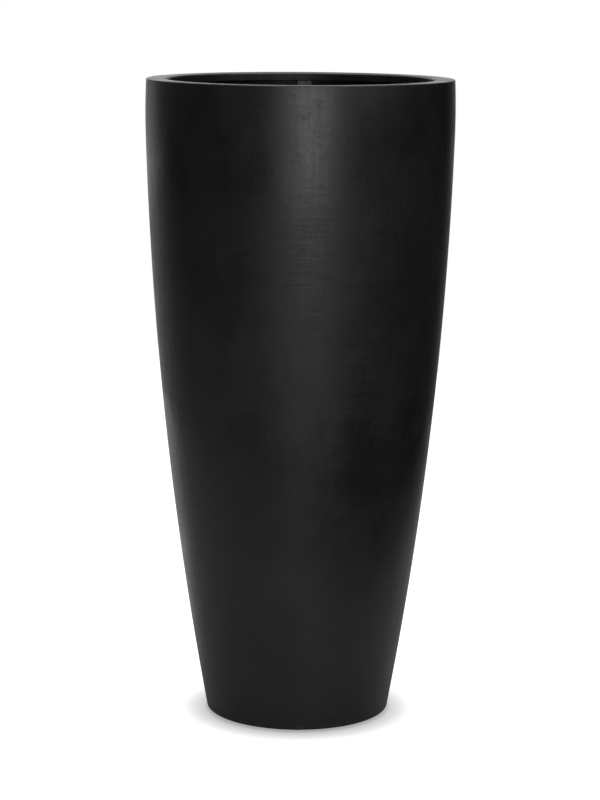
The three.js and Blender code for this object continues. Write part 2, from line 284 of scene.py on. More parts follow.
# %% Node group: dust that settles on upward faces
dust, given = start_group(
    "Settled dust", {"Patch size": 0.05, "Least slope": 0.6, "Seed": 0.0}, "Dust"
)
upward = axes_of(dust, dust.nodes.new("ShaderNodeNewGeometry").outputs["Normal"])[2]
flat = add_node(dust, "ShaderNodeMapRange", Value=upward, From_Min=given["Least slope"])
spot = scaled_place(dust, given["Patch size"], given["Patch size"], given["Seed"])
cover = remap(dust, cloud_noise(dust, spot, 5.0, 0.65), 0.35, 0.75)
end_group(dust, calculate(dust, "MULTIPLY", flat.outputs[0], cover))

# %% Node group: a rubbed band round the planter
rubbed, given = start_group(
    "Rubbed band", {"Level": 0.0, "Spread": 0.004, "Patch size": 0.02, "Seed": 0.0}, "Rub"
)
above = calculate(rubbed, "SUBTRACT", axes_of(rubbed, own_place(rubbed))[2], given["Level"])
away = calculate(rubbed, "DIVIDE", calculate(rubbed, "ABSOLUTE", above), given["Spread"])
spot = scaled_place(rubbed, given["Patch size"], given["Patch size"], given["Seed"])
patchy = remap(rubbed, cloud_noise(rubbed, spot, 4.0, 0.6), 0.4, 0.7)
end_group(rubbed, calculate(rubbed, "MULTIPLY", remap(rubbed, away, 1.0, 0.0), patchy))

# %% [markdown]
# ## Satin black paint
#
# The outside and the rim are sprayed satin black, a neutral black with no tint. On black the eye
# sees gloss far more than colour, so most of this finish is in how rough the paint is. It is cloudy,
# as hand-sprayed satin is. From half height to a hand's breadth or two below the rim it is rubbed
# duller. Level streaks from rubbing down show most in three upright lanes round the planter, one of
# them at the front. Fine upright streaks, smudges and a scuffed foot come on top. Slow hand waves,
# the streaks, a thin orange peel from the spray gun and rare pits are bump, because they are much
# too shallow to model. The pits are also painted darker than the paint's own black, as painted
# shade in their hollows.

# %% Helpers for materials
def new_material(name, roughness, specular=0.5):
    """A material with only its shader and output, and the shader's uniform values set on it."""
    material = bpy.data.materials.new(name)
    material.use_nodes = True
    tree = material.node_tree
    shader = tree.nodes["Principled BSDF"]
    shader.inputs["Roughness"].default_value = roughness
    shader.inputs["Specular IOR Level"].default_value = specular
    return material, tree, shader


def raise_relief(tree, shader, height, depth):
    """Sends a pattern to the shader as bump. The depth, in metres, is that of a height of one."""
    bump = add_node(tree, "ShaderNodeBump", Height=height, Strength=1.0, Distance=depth)
    tree.links.new(bump.outputs[0], shader.inputs["Normal"])


print("material helpers ready")

# %% Satin black paint: its patterns
PAINT_ROUGHNESS = 0.415

satin_paint, tree, shader = new_material("satin_black_paint", PAINT_ROUGHNESS)
clouds = place_group(tree, patches, Size_across=0.075, Size_up=0.11, Seed=3.0)
hand_waves = place_group(tree, patches, Size_across=0.045, Size_up=0.07, Seed=7.0)
broad_streaks = place_group(tree, patches, Size_across=0.09, Size_up=0.007, Seed=8.0)
fine_streaks = place_group(tree, patches, Size_across=0.035, Size_up=0.0026, Seed=1.0)
upright_streaks = place_group(tree, patches, Size_across=0.006, Size_up=0.09, Seed=5.0)
smudges = place_group(tree, patches, Size_across=0.011, Size_up=0.008, Seed=6.0)
spray_peel = place_group(tree, patches, Size_across=0.0016, Size_up=0.0016, Seed=2.0)
pits = place_group(tree, spots, Spacing=0.04, Radius_share=0.028, Share_of_cells=0.3, Seed=4.0)
specks = place_group(tree, spots, Spacing=0.1, Radius_share=0.012, Share_of_cells=0.25, Seed=9.0)
foot_rub = place_group(tree, rubbed, Level=0.0065, Spread=0.007, Patch_size=0.012, Seed=6.0)
print("satin paint: roughness about", PAINT_ROUGHNESS)

# %% Satin black paint: its colour
PAINT_BLACK = 0.006
PAINT_PALE = 0.0095
PIT_PAINTED_SHADE = 0.003
SPECK_GREY = 0.2
SCUFF_GREY = 0.06

tone = blend_colours(tree, remap(tree, clouds, 0.3, 0.7), grey(PAINT_BLACK), grey(PAINT_PALE))
# Painted shade: the pits are darkened below the paint's own black, as shade in their hollows.
tone = tint(tree, tone, pits, 0.85, grey(PIT_PAINTED_SHADE))
tone = tint(tree, tone, specks, 0.6, grey(SPECK_GREY))
tone = tint(tree, tone, foot_rub, 0.35, grey(SCUFF_GREY))
tree.links.new(tone, shader.inputs["Base Color"])
print("satin paint: black of", PAINT_BLACK, "to", PAINT_PALE)

# %% Satin black paint: where it is dull and streaky
DULL_BAND_FOOT = (0.46, 0.52)
DULL_BAND_TOP = (0.876, 0.776)
DULL_BAND_WANDER = 0.16
LANES = 3
STREAKS_OFF_LANE = 0.2
STREAKS_OFF_BAND = 0.25

x, y, z = axes_of(tree, own_place(tree))
wandering = calculate(tree, "MULTIPLY", calculate(tree, "SUBTRACT", clouds, 0.5), DULL_BAND_WANDER)
level = calculate(tree, "ADD", z, wandering)
above_foot = remap(tree, level, *DULL_BAND_FOOT)
dull_band = calculate(tree, "MULTIPLY", remap(tree, level, *DULL_BAND_TOP), above_foot)
turn = calculate(tree, "ARCTAN2", x, calculate(tree, "MULTIPLY", y, -1.0))
lane = calculate(tree, "COSINE", calculate(tree, "MULTIPLY", turn, LANES))
lane = remap(tree, lane, -1.0, 1.0, STREAKS_OFF_LANE, 1.0)
streaky = calculate(tree, "MULTIPLY", lane, remap(tree, dull_band, 0.0, 1.0, STREAKS_OFF_BAND, 1.0))
print("dull band from", DULL_BAND_FOOT[0], "to", DULL_BAND_TOP[0], "m, in", LANES, "lanes")

# %% Satin black paint: its gloss
CLOUD_SWING = 0.03


def around_zero(pattern, strength=1.0):
    """A pattern that makes the paint both duller and glossier, by a strength or a mask."""
    return calculate(tree, "MULTIPLY", calculate(tree, "SUBTRACT", pattern, 0.5), strength)


rough = remap(tree, clouds, 0.25, 0.75, PAINT_ROUGHNESS - CLOUD_SWING, PAINT_ROUGHNESS + CLOUD_SWING)
for mask, weight in (
    (dull_band, 0.105),
    (around_zero(broad_streaks, streaky), 0.14),
    (around_zero(fine_streaks, streaky), 0.3),
    (around_zero(upright_streaks), 0.115),
    (remap(tree, smudges, 0.55, 0.68), 0.05),
    (foot_rub, 0.15),
):
    rough = plus_share(tree, rough, mask, weight)
tree.links.new(rough, shader.inputs["Roughness"])
print("gloss made of", len(tree.nodes), "nodes so far")

# %% Satin black paint: its relief
PAINT_RELIEF = 0.001

relief = 0.0
for height, weight in (
    (hand_waves, 0.5),
    (broad_streaks, 0.035),
    (fine_streaks, 0.015),
    (smudges, 0.02),
    (spray_peel, 0.007),
    (pits, -0.3),
):
    relief = plus_share(tree, relief, height, weight)
raise_relief(tree, shader, relief, PAINT_RELIEF)
print("hand waves up to", 0.5 * PAINT_RELIEF * 1000, "mm high")

# %% [markdown]
# ## Bare laminate
#
# Inside, nothing is sanded or sprayed. The resin is pigmented black, and the strands of the glass
# mat stand up under it in every direction. They could be modelled as thousands of fibres, but under
# resin they are only a relief. Resin pools between them, so the hollows are glossier than the
# strands.

# %% Bare black laminate
bare_laminate, tree, shader = new_material("bare_black_laminate", 0.6)
mat = place_group(tree, strands, Strand_length=0.035, Strand_width=0.0016, Seed=2.0)
pools = place_group(tree, patches, Size_across=0.03, Size_up=0.03, Seed=7.0)
film = place_group(tree, dust, Patch_size=0.03, Least_slope=0.7, Seed=3.0)
tone = blend_colours(tree, mat, grey(0.012), grey(0.028))
tone = tint(tree, tone, film, 0.3, (0.1, 0.095, 0.088, 1.0))
tree.links.new(tone, shader.inputs["Base Color"])
rough = plus_share(tree, remap(tree, pools, 0.3, 0.7, 0.42, 0.62), mat, 0.12)
tree.links.new(rough, shader.inputs["Roughness"])
relief = plus_share(tree, calculate(tree, "MULTIPLY", mat, 0.25), pools, 0.35)
raise_relief(tree, shader, relief, 0.001)
print("bare laminate ready")

# %% [markdown]
# ## Raw glass mat
#
# The strap behind the lip was never pigmented or painted, so it is the pale grey of glass in clear
# resin. It is the only light thing on the planter, and the photograph just shows it under the lip.
# The node group that makes the laminate's strands makes these too, shorter and finer, because no
# thick resin covers them.

# %% Raw glass mat
raw_mat, tree, shader = new_material("raw_glass_mat", 0.7)
mat = place_group(tree, strands, Strand_length=0.012, Strand_width=0.0007, Seed=5.0)
wet = place_group(tree, patches, Size_across=0.006, Size_up=0.006, Seed=1.0)
tone = blend_colours(tree, mat, (0.13, 0.135, 0.125, 1.0), (0.3, 0.31, 0.29, 1.0))
tone = blend_colours(tree, remap(tree, wet, 0.45, 0.7, 0.0, 0.5), tone, (0.09, 0.093, 0.085, 1.0))
tree.links.new(tone, shader.inputs["Base Color"])
tree.links.new(remap(tree, wet, 0.3, 0.7, 0.75, 0.5), shader.inputs["Roughness"])
raise_relief(tree, shader, mat, 0.0003)
print("raw glass mat ready")

# %% [markdown]
# ## Rubber and moulded plastic
#
# The plug and the pads are moulded in black rubber, dull and slightly dusty. The shelf is moulded in
# recycled plastic, which is a charcoal black with a fine sand-blasted grain from its mould, paler
# scuffs on its rim and a little dust on its top. One plain black would do for both from afar, but
# they differ in grain and gloss close up, so each has its own material.

# %% Rubber
rubber, tree, shader = new_material("black_rubber", 0.7, specular=0.35)
bloom = place_group(tree, patches, Size_across=0.006, Size_up=0.006, Seed=4.0)
grain = place_group(tree, patches, Size_across=0.0005, Size_up=0.0005, Seed=4.0)
film = place_group(tree, dust, Patch_size=0.008, Least_slope=0.5, Seed=1.0)
tone = blend_colours(tree, remap(tree, bloom, 0.35, 0.7), grey(0.009), grey(0.017))
tone = tint(tree, tone, film, 0.3, (0.09, 0.087, 0.08, 1.0))
tree.links.new(tone, shader.inputs["Base Color"])
tree.links.new(remap(tree, bloom, 0.3, 0.7, 0.62, 0.8), shader.inputs["Roughness"])
raise_relief(tree, shader, grain, 0.00004)
print("rubber ready")

# %% Moulded shelf plastic
shelf_plastic, tree, shader = new_material("moulded_shelf_plastic", 0.55)
flow = place_group(tree, patches, Size_across=0.05, Size_up=0.05, Seed=6.0)
grain = place_group(tree, patches, Size_across=0.0009, Size_up=0.0009, Seed=6.0)
flecks = place_group(tree, spots, Spacing=0.009, Radius_share=0.06, Share_of_cells=0.3, Seed=2.0)
film = place_group(tree, dust, Patch_size=0.045, Least_slope=0.8, Seed=5.0)
scuffs = place_group(tree, rubbed, Level=0.449, Spread=0.006, Patch_size=0.01, Seed=8.0)
tone = blend_colours(tree, remap(tree, flow, 0.35, 0.7), grey(0.03), grey(0.042))
tone = tint(tree, tone, flecks, 0.5, grey(0.09))
tone = tint(tree, tone, film, 0.25, (0.11, 0.1, 0.09, 1.0))
tone = tint(tree, tone, scuffs, 0.1, grey(0.08))
tree.links.new(tone, shader.inputs["Base Color"])
rough = plus_share(tree, remap(tree, flow, 0.3, 0.7, 0.48, 0.6), film, 0.15)
tree.links.new(rough, shader.inputs["Roughness"])
raise_relief(tree, shader, grain, 0.00006)
print("shelf plastic ready")

# %% [markdown]
# ## Outlines and turning
#
# Nearly everything here is round, so one tool makes most of it: an outline is drawn with its corners
# rounded, and is turned round the upright axis into a closed mesh. Blender's Screw modifier could do
# the turning. Doing it in code lets the steps be closer together where a seam needs them, and lets
# each stretch of the outline have its own finish. A small extra point holds the flat on each side of
# a rounded corner, so that smooth shading doesn't bleed from the corner into the flat.

# %% Rounded outlines
MM = 0.001
FLAT_HOLD = 0.35


def rounded(corners):
    """A closed outline from corners of (radius, height) or (radius, height, rounding), in mm."""
    points = [np.array(corner[:2], float) for corner in corners]
    made = []
    for i, corner in enumerate(corners):
        if len(corner) == 2:
            made.append(points[i])
            continue
        rounding = corner[2]
        before = points[i - 1] - points[i]
        after = points[(i + 1) % len(points)] - points[i]
        before /= np.linalg.norm(before)
        after /= np.linalg.norm(after)
        half = math.acos(np.clip(before @ after, -1, 1)) / 2
        middle = before + after
        centre = points[i] + middle / np.linalg.norm(middle) * rounding / math.sin(half)
        reach = rounding / math.tan(half)
        start = points[i] + before * reach - centre
        end = points[i] + after * reach - centre
        sweep = math.pi - 2 * half
        steps = max(3, math.ceil(math.degrees(sweep) / 13))
        made.append(points[i] + before * (reach + FLAT_HOLD))
        for k in range(steps + 1):
            share = k / steps
            a = math.sin((1 - share) * sweep) / math.sin(sweep)
            b = math.sin(share * sweep) / math.sin(sweep)
            made.append(centre + a * start + b * end)
        made.append(points[i] + after * (reach + FLAT_HOLD))
    return np.array(made)


# %% Finishing a mesh
def tidy_faces(mesh):
    """Joins points that coincide and turns every face outwards."""
    shell = bmesh.new()
    shell.from_mesh(mesh)
    bmesh.ops.remove_doubles(shell, verts=shell.verts, dist=1e-7)
    bmesh.ops.recalc_face_normals(shell, faces=shell.faces)
    shell.to_mesh(mesh)
    shell.free()
    return mesh


def finish_mesh(name, mesh, materials, sharp_degrees=38):
    """Makes a smooth-shaded object of a mesh, with its edges kept crisp above an angle."""
    for material in materials:
        mesh.materials.append(material)
    tidy_faces(mesh)
    mesh.shade_smooth()
    mesh.set_sharp_from_angle(angle=math.radians(sharp_degrees))
    piece = bpy.data.objects.new(name, mesh)
    bpy.context.scene.collection.objects.link(piece)
    return piece


# %% Turning an outline
def even_turns(count):
    """Angles evenly round the axis, starting at +X."""
    return np.arange(count) * 2 * math.pi / count


def turned_mesh(name, outline, angles, closed=True, drift=None, finishes=None):
    """Turns an outline in mm round Z. drift(angle, radius, height) moves a point outwards."""
    radius, height = np.array(outline, float).T
    turn = np.repeat(angles[:, None], len(radius), axis=1)
    radii = np.repeat(radius[None, :], len(angles), axis=0)
    heights = np.repeat(height[None, :], len(angles), axis=0)
    if drift is not None:
        radii = radii + drift(turn, radii, heights)
    places = np.stack([radii * np.cos(turn), radii * np.sin(turn), heights], axis=2) * MM
    rings, steps = radii.shape
    a, p = np.meshgrid(np.arange(rings), np.arange(steps if closed else steps - 1), indexing="ij")
    a_next, p_next = (a + 1) % rings, (p + 1) % steps
    corners = [a * steps + p, a_next * steps + p, a_next * steps + p_next, a * steps + p_next]
    faces = np.stack(corners, axis=2).reshape(-1, 4)
    mesh = bpy.data.meshes.new(name)
    mesh.from_pydata(places.reshape(-1, 3).tolist(), [], faces.tolist())
    if finishes is not None:
        mesh.polygons.foreach_set("material_index", np.array(finishes)[p].ravel().astype(np.int32))
    return mesh


print("outline and turning tools ready")

# %% [markdown]
# ## The wall's outline
#
# The side of the planter is two arcs that meet without a kink. A short arc from the rim is upright
# at the widest point, 55 mm down. A very long, flatter arc runs from just below it to the foot. A
# curve drawn by hand through a few points could look the same, but arcs can be moved inwards
# exactly. The same two arcs, moved inwards, give the inside of the wall and everything that touches
# it.

# %% The two arcs
RIM_TOP = 1000.0
WIDEST_RADIUS = 239.0
WIDEST_DROP = 55
WIDEST_LEVEL = RIM_TOP - WIDEST_DROP
RIM_DRAW_IN = 1.3
SHOULDER_LEVEL = WIDEST_LEVEL - 32
FOOT_RADIUS = 143.7
FOOT_LEVEL = 2.5

upper_arc_radius = (WIDEST_DROP**2 + RIM_DRAW_IN**2) / (2 * RIM_DRAW_IN)
upper_centre = np.array([WIDEST_RADIUS - upper_arc_radius, WIDEST_LEVEL])
lean = math.asin((SHOULDER_LEVEL - WIDEST_LEVEL) / upper_arc_radius)
outward = np.array([math.cos(lean), math.sin(lean)])
shoulder = upper_centre + outward * upper_arc_radius
chord = np.array([FOOT_RADIUS, FOOT_LEVEL]) - shoulder
lower_arc_radius = -(chord @ chord) / (2 * chord @ outward)
lower_centre = shoulder - outward * lower_arc_radius


def wall_radius(height, inset=0.0):
    """Radius of the wall at a height, in mm, on its outside or a number of mm inside it."""
    height = np.asarray(height, float)
    above = height > SHOULDER_LEVEL
    arc = np.where(above, upper_arc_radius, lower_arc_radius)
    x = np.where(above, upper_centre[0], lower_centre[0])
    y = np.where(above, upper_centre[1], lower_centre[1])
    return x + np.sqrt((arc - inset) ** 2 - (height - y) ** 2)


def wall_point(height, inset=0.0):
    """A corner of an outline that lies on the wall, or a number of mm inside it."""
    return (float(wall_radius(height, inset)), float(height))


print("arcs of", round(upper_arc_radius), "and", round(lower_arc_radius), "mm")
print("outside radius at half height:", round(wall_point(500)[0], 1), "mm")

# %% [markdown]
# ## The hand-laid wall
#
# On the real planter, mat and resin are laid by hand in a mould, 4 mm thick, and turn in at the
# bottom to make the foot. Sanding by hand leaves the outside very slightly wavy. A sculpted or
# displaced surface could show that, but a sum of a few slow ripples of a tenth of a millimetre keeps
# the mesh light and even. It goes only inwards, so the planter keeps its size. The foot's outer edge
# is rounded. The outside and the edge of the foot are painted, and the inside is bare.

# %% The ripple of the sanded wall
RIPPLE_MM = 0.1
RIPPLE_COUNT = 7

ripples = np.random.default_rng(11)
ripple_list = [
    (ripples.integers(2, 9), ripples.uniform(-1, 1) * 0.03, ripples.uniform(0, 6.28))
    for _ in range(RIPPLE_COUNT)
]


def hand_ripple(turn, radius, height):
    """Slow inward waves of the hand-laid wall, in mm."""
    wave = sum(1 / RIPPLE_COUNT * np.cos(m * turn + k * height + p) for m, k, p in ripple_list)
    return -RIPPLE_MM * (1 + wave)


print("ripple at the front of the widest point:", round(hand_ripple(-1.57, 239, 945), 3), "mm")

# %% The outer wall
WALL = 4.0
RING_UNDERSIDE = RIM_TOP - WALL
FOOT_HOLE_RADIUS = FOOT_RADIUS - 30
FOOT_CORNER = 5
FOOT_TOP = FOOT_LEVEL + WALL
PAINTED_FOOT_RADIUS = 130

outside_levels = np.concatenate([np.linspace(16, SHOULDER_LEVEL, 110), np.linspace(918, 995, 15)])
inside_levels = np.concatenate([np.linspace(14, 900, 46), np.linspace(915, 995, 7)])
wall_outline = rounded([
    (FOOT_HOLE_RADIUS, FOOT_LEVEL, 0.8),
    (FOOT_RADIUS, FOOT_LEVEL, FOOT_CORNER),
    *[wall_point(level) for level in outside_levels],
    wall_point(RING_UNDERSIDE),
    wall_point(RING_UNDERSIDE, WALL),
    *[wall_point(level, WALL) for level in inside_levels[::-1]],
    wall_point(FOOT_TOP, WALL) + (4,),
    (FOOT_HOLE_RADIUS, FOOT_TOP, 0.8),
])
radii, levels = wall_outline.T
outer = np.abs(radii - wall_radius(levels)) < 1.2
painted = outer | ((levels < 12) & (radii > PAINTED_FOOT_RADIUS))
wall_finishes = np.where(painted & np.roll(painted, -1), 0, 1)
wall_mesh = turned_mesh(
    "planter_wall", wall_outline, even_turns(256), drift=hand_ripple, finishes=wall_finishes
)
planter_wall = finish_mesh("planter_wall", wall_mesh, [satin_paint, bare_laminate])
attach(planter_wall, "planter")
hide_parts("outer_wall")
print("wall:", len(wall_mesh.polygons), "faces")

# %% [markdown]
# ## The rim ring
#
# The rim is a separate channel of laminate, open downwards. Its outer leg is bonded inside the wall,
# its flat top covers the wall's edge, and its inner leg is the lip that turns down round the mouth.
# The flat falls half a millimetre towards the mouth, so that its near side catches the light as the
# photograph shows. The seam outside is filled and painted, so nothing shows there. The ring is one
# strip bent round, and its two ends meet at the back, where the photograph shows a faint upright
# line on the lip. The filler there has sunk a little. Bump could draw that line, but it runs over a
# rounded corner, so the turning steps are closer together there and the hollow is real.

# %% The rim ring
MOUTH_RADIUS = 207.0
RIM_FALL = 0.5
LIP_END = RIM_TOP - 12.5
LEG_END = 974.0
BOND_GAP = 0.3
LEG_OUTSIDE = WALL + BOND_GAP
LEG_INSIDE = LEG_OUTSIDE + WALL
JOINT_TURN = math.pi / 2 + math.atan2(11.4, MOUTH_RADIUS)
JOINT_SINK_MM = 0.3
JOINT_WIDTH_MM = 1.6


def ring_drift(turn, radius, height):
    """The wall's ripple, and the sunk filler where the ring's ends meet."""
    along = (turn - JOINT_TURN) * MOUTH_RADIUS
    sunk = JOINT_SINK_MM * np.exp(-((along / JOINT_WIDTH_MM) ** 2))
    on_lip = radius < MOUTH_RADIUS + 3
    return hand_ripple(turn, radius, height) + np.where(on_lip, sunk, 0)


seat_level = RING_UNDERSIDE - BOND_GAP
ring_outline = rounded([
    (MOUTH_RADIUS, LIP_END, 0.6),
    (MOUTH_RADIUS, RIM_TOP - RIM_FALL, 2.5),
    (WIDEST_RADIUS - RIM_DRAW_IN, RIM_TOP, 1.8),
    wall_point(RING_UNDERSIDE),
    (wall_point(seat_level)[0] - 0.4, seat_level),
    wall_point(seat_level, LEG_OUTSIDE),
    wall_point(LEG_END, LEG_OUTSIDE) + (0.6,),
    wall_point(LEG_END, LEG_INSIDE) + (0.6,),
    wall_point(RING_UNDERSIDE, LEG_INSIDE) + (1.5,),
    (MOUTH_RADIUS + WALL, RING_UNDERSIDE, 1.5),
    (MOUTH_RADIUS + WALL, LIP_END, 0.6),
])
ring_angles = np.unique(np.concatenate([
    even_turns(256),
    JOINT_TURN + np.linspace(-6, 6, 31) / MOUTH_RADIUS,
]))
ring_mesh = turned_mesh("rim_ring_skin", ring_outline, ring_angles, drift=ring_drift)
rim_ring = finish_mesh("rim_ring_skin", ring_mesh, [satin_paint])
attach(rim_ring, "planter")
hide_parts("rim_ring")
print("rim ring:", len(ring_mesh.polygons), "faces, joint at", round(math.degrees(JOINT_TURN), 1))

# %% [markdown]
# ## The strap behind the joint
#
# A hand-cut scrap of glass mat bridges the ring's joint on the hidden side of the lip and hangs a
# little below it. A thin plane with a Solidify modifier could make it. It is modelled as a bent
# sheet of two sides with torn, uneven edges, because a clean rectangle would look machined.

# %% The joint strap's torn edges
COLUMNS, ROWS = 25, 19
SIDE_TEAR = 0.006
BOTTOM_TEAR_MM = 1.6
TOP_TEAR_MM = 1.0

tear = np.random.default_rng(5)


def uneven(count, depth):
    """A torn edge: a smooth random line between 0 and depth."""
    rough_line = np.convolve(tear.uniform(0, 1, count + 4), np.ones(3) / 3, "same")[2:-2]
    return depth * np.clip(rough_line, 0, 1)


left_tear = uneven(ROWS, SIDE_TEAR)
right_tear = uneven(ROWS, SIDE_TEAR)
bottom_tear = uneven(COLUMNS, BOTTOM_TEAR_MM)
top_tear = uneven(COLUMNS, TOP_TEAR_MM)
print("torn at most", round(bottom_tear.max(), 2), "mm at the bottom")

# %% The joint strap's points
STRAP_INNER = 211.3
STRAP_OUTER = 213.3
EDGE_THINNING_MM = 0.7

strap_lo, strap_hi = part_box("rim_joint_strap")
left_angle = math.acos(strap_hi.x / (STRAP_INNER * MM))
right_angle = math.acos(strap_lo.x / (STRAP_INNER * MM))
strap_points = []
for face in (STRAP_INNER, STRAP_OUTER):
    for row in range(ROWS):
        for column in range(COLUMNS):
            u, v = column / (COLUMNS - 1), row / (ROWS - 1)
            start = left_angle + left_tear[row]
            end = right_angle - right_tear[row]
            low = strap_lo.z / MM + bottom_tear[column]
            high = strap_hi.z / MM - top_tear[column]
            angle = start + (end - start) * u
            edge = min(u, 1 - u, v, 1 - v) * 20
            thinned = EDGE_THINNING_MM * max(0.0, 1 - edge) if face == STRAP_OUTER else 0.0
            radius = (face - thinned) * MM
            height = (low + (high - low) * v) * MM
            strap_points.append((radius * math.cos(angle), radius * math.sin(angle), height))
print("strap:", len(strap_points), "points")


# %% The joint strap
def sheet_faces(columns, rows):
    """Faces of a thin sheet with two sides, closed round its edge."""
    def corner(side, row, column):
        return side * rows * columns + row * columns + column

    faces = []
    for row in range(rows - 1):
        for column in range(columns - 1):
            ring = [(row, column), (row, column + 1), (row + 1, column + 1), (row + 1, column)]
            faces.append([corner(0, *place) for place in ring])
            faces.append([corner(1, *place) for place in ring[::-1]])
    border = [(0, c) for c in range(columns)] + [(r, columns - 1) for r in range(1, rows)]
    border += [(rows - 1, c) for c in range(columns - 2, -1, -1)]
    border += [(r, 0) for r in range(rows - 2, 0, -1)]
    for here, there in zip(border, border[1:] + border[:1]):
        faces.append([corner(0, *here), corner(0, *there), corner(1, *there), corner(1, *here)])
    return faces


strap_mesh = bpy.data.meshes.new("joint_strap")
strap_mesh.from_pydata(strap_points, [], sheet_faces(COLUMNS, ROWS))
joint_strap = finish_mesh("joint_strap", strap_mesh, [raw_mat])
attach(joint_strap, "planter")
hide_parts("rim_joint_strap")
print("strap:", len(strap_mesh.polygons), "faces")

# %% [markdown]
# ## The floor pan
#
# The pan stands on the foot and turns up against the wall, where it is bonded. It falls 3 mm to its
# drain, and a flat land round the drain takes the plug's flange. A disc with a cut hole would do for
# a flat floor, but one turned outline gives the fall, the land and the flange at once.

# %% The floor pan
PAN_SEAT = 6.8
PAN_TOP = 11.8
PAN_FALL = 3
PAN_BREAK_RADIUS = 110.7
PAN_FLANGE_TOP = 32.8
DRAIN_RADIUS = 12.5
LAND_RADIUS = 24.5

pan_outline = rounded([
    (DRAIN_RADIUS, PAN_SEAT - PAN_FALL, 0.6),
    (LAND_RADIUS, PAN_SEAT - PAN_FALL),
    (PAN_BREAK_RADIUS, PAN_SEAT),
    wall_point(PAN_SEAT, LEG_OUTSIDE) + (6,),
    wall_point(20, LEG_OUTSIDE),
    wall_point(PAN_FLANGE_TOP, LEG_OUTSIDE) + (1.5,),
    wall_point(PAN_FLANGE_TOP, LEG_INSIDE) + (1.5,),
    wall_point(20, LEG_INSIDE),
    wall_point(PAN_TOP, LEG_INSIDE) + (2,),
    (PAN_BREAK_RADIUS, PAN_TOP),
    (LAND_RADIUS, PAN_TOP - PAN_FALL),
    (DRAIN_RADIUS, PAN_TOP - PAN_FALL, 0.6),
])
pan_mesh = turned_mesh("floor_pan_skin", pan_outline, even_turns(160))
floor_pan = finish_mesh("floor_pan_skin", pan_mesh, [bare_laminate])
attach(floor_pan, "planter")
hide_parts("floor_pan")
print("pan:", len(pan_mesh.polygons), "faces")

# %% [markdown]
# ## The foot pads
#
# Six rubber discs stuck under the foot lift it 2.5 mm, so drained water can run out. Each has a
# chamfered lower edge and a shallow groove near it, so that it grips. Copies of one disc could be
# instanced, but each pad takes the place of its own node, so one is turned at each node's centre.

# %% The foot pads
PAD_RADIUS = 9.5
PAD_THICKNESS = 2.2
pad_outline = np.array([
    (0, 0), (6.6, 0), (7.2, 0.25), (7.7, 0.25), (8.0, 0), (8.5, 0), (9.1, 0.35), (9.4, 0.9),
    (PAD_RADIUS, 1.4), (PAD_RADIUS, PAD_THICKNESS), (0, PAD_THICKNESS),
])
for number in range(1, 7):
    lo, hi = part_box(f"foot_pad_{number}")
    pad_mesh = turned_mesh(f"pad_{number}", pad_outline, even_turns(48), closed=False)
    centre = (lo + hi) / 2
    pad_mesh.transform(Matrix.Translation((centre.x, centre.y, lo.z)))
    pad = finish_mesh(f"pad_{number}", pad_mesh, [rubber], sharp_degrees=50)
    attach(pad, "planter")
    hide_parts(f"foot_pad_{number}")
    print(pad.name, "at", round(centre.x, 4), round(centre.y, 4))

# %% [markdown]
# ## Joining solids
#
# The plug and the shelf aren't purely round. Their other parts are separate solids. Left to overlap,
# they would look right but wouldn't be one piece, so Blender's Boolean modifier joins or cuts them,
# and the result is read back as one clean mesh.

# %% Boolean helper
def boolean_result(name, base, others, operation):
    """Joins or cuts a mesh with a list of meshes and returns the new mesh."""
    body = bpy.data.objects.new(name, base)
    bpy.context.scene.collection.objects.link(body)
    tools = bpy.data.collections.new("boolean_tools")
    bpy.context.scene.collection.children.link(tools)
    for other in others:
        tool = bpy.data.objects.new("boolean_tool", other)
        tools.objects.link(tool)
    modifier = body.modifiers.new("boolean", "BOOLEAN")
    modifier.operation = operation
    modifier.solver = "EXACT"
    modifier.operand_type = "COLLECTION"
    modifier.collection = tools
    depsgraph = bpy.context.evaluated_depsgraph_get()
    result = bpy.data.meshes.new_from_object(body.evaluated_get(depsgraph))
    for thing in [*tools.objects, body]:
        bpy.data.objects.remove(thing)
    bpy.data.collections.remove(tools)
    result.name = name
    return result


print("boolean helper ready")

# %% [markdown]
# ## The drain plug
#
# A moulded rubber bung: a tapered stem, a flange that laps the land round the drain, and a loop to
# pull it by. The stem and flange are turned, and the loop is a round bar swept along two legs and a
# half circle. A curve with a round bevel could make that bar, but not the flare at the foot of each
# leg, which a moulding has so that the loop doesn't tear off.

# %% The drain plug
PLUG_SEAT = 9.1
FLANGE_RADIUS = 20.0
FLANGE_TOP = 3.5

plug_outline = rounded([
    (0.001, -1.1),
    (7.0, -1.1, 0.8),
    (7.0, -7.1, 0.5),
    (11.3, -7.1, 0.8),
    (12.2, 0.0),
    (FLANGE_RADIUS, 0.0, 0.4),
    (FLANGE_RADIUS, FLANGE_TOP, 1.2),
    (0.001, FLANGE_TOP),
])
plug_outline[plug_outline[:, 0] < 0.01, 0] = 0.0
plug_mesh = tidy_faces(turned_mesh("plug", plug_outline, even_turns(72), closed=False))
print("plug's stem and flange:", len(plug_mesh.polygons), "faces")

# %% The plug's pull loop
LOOP_RADIUS = 9.0
LOOP_BAR = 2.0
LOOP_HEIGHT = 11.5
LOOP_FLARE = 0.35
FLARE_HEIGHT = 2.0

springing = FLANGE_TOP + LOOP_HEIGHT - LOOP_RADIUS
loop_line = [(-LOOP_RADIUS, z) for z in np.linspace(FLANGE_TOP / 2, springing, 5)[:-1]]
loop_line += [
    (-LOOP_RADIUS * math.cos(t), springing + LOOP_RADIUS * math.sin(t))
    for t in np.linspace(0, math.pi, 25)
]
loop_line += [(LOOP_RADIUS, z) for z in np.linspace(springing, FLANGE_TOP / 2, 5)[1:]]
loop_line = np.array(loop_line)


